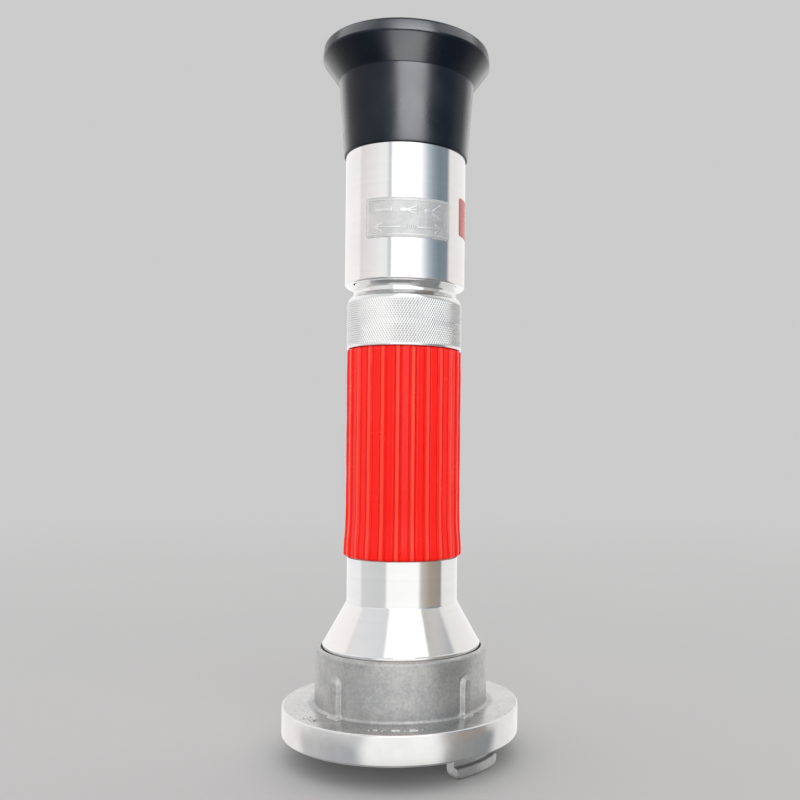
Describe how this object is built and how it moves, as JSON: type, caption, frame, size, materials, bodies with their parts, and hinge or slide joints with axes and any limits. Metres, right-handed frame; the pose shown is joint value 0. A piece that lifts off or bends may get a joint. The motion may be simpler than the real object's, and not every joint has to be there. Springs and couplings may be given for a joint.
{
  "type": "fire hose nozzle",
  "caption": "Straight-barrel fire hose nozzle with a swivelling lug coupling, ribbed rubber grip, knurled collar and a turning head that screws between shut, straight jet and wide fog.",
  "frame": {"origin": "centre of the hose coupling's mating face, on the water way's axis", "axes": "+Z along the water way towards the outlet, -Y towards the function plate (the front), +X to the right of the front"},
  "size_m": [0.111, 0.111, 0.3321],
  "materials": {
    "polished_aluminium": "polished",
    "cast_aluminium": "dull as cast",
    "plate_aluminium": "matt etched",
    "grip_rubber": "semi-gloss moulded",
    "bumper_rubber": "satin moulded",
    "seal_rubber": "matt",
    "stainless_steel": "turned",
    "washer_nylon": "matt",
    "label_plastic": "gloss"
  },
  "bodies": {
    "barrel_group": {"barrel": "polished_aluminium", "retaining_wire": "stainless_steel", "gasket": "seal_rubber", "gasket_seat": "polished_aluminium", "grip": "grip_rubber", "valve_body": "polished_aluminium", "body_seal": "seal_rubber", "sleeve_seal_lower": "seal_rubber", "sleeve_seal_upper": "seal_rubber", "spider": "polished_aluminium", "stem": "stainless_steel", "stem_nut": "stainless_steel", "baffle_cone": "polished_aluminium", "baffle_seal": "seal_rubber", "baffle_disc": "polished_aluminium", "baffle_washer": "stainless_steel", "baffle_nut": "stainless_steel"},
    "coupling": {"lug_ring": "cast_aluminium", "swivel_washer": "washer_nylon"},
    "head_carrier": {"wiper_ring": "seal_rubber"},
    "head": {"sleeve": "polished_aluminium", "throat_seat": "polished_aluminium", "bumper": "bumper_rubber", "fog_ring": "polished_aluminium", "function_plate": "plate_aluminium", "side_label": "label_plastic"}
  },
  "joints": [
    {"name": "coupling_swivel", "type": "hinge", "parent": "barrel_group", "child": "coupling", "pos_m": [0, 0, 0], "axis": [0, 0, 1], "continuous": true},
    {"name": "head_travel", "type": "slide", "parent": "barrel_group", "child": "head_carrier", "axis": [0, 0, 1], "range_m": [-0.005, 0.007]},
    {"name": "head_turn", "type": "hinge", "parent": "head_carrier", "child": "head", "pos_m": [0, 0, 0.24], "axis": [0, 0, 1], "range_deg": [-100, 140]}
  ],
  "couplings": [
    {"joint": "head_travel", "follows": "head_turn", "m_per_rad": 0.0028647}
  ]
}
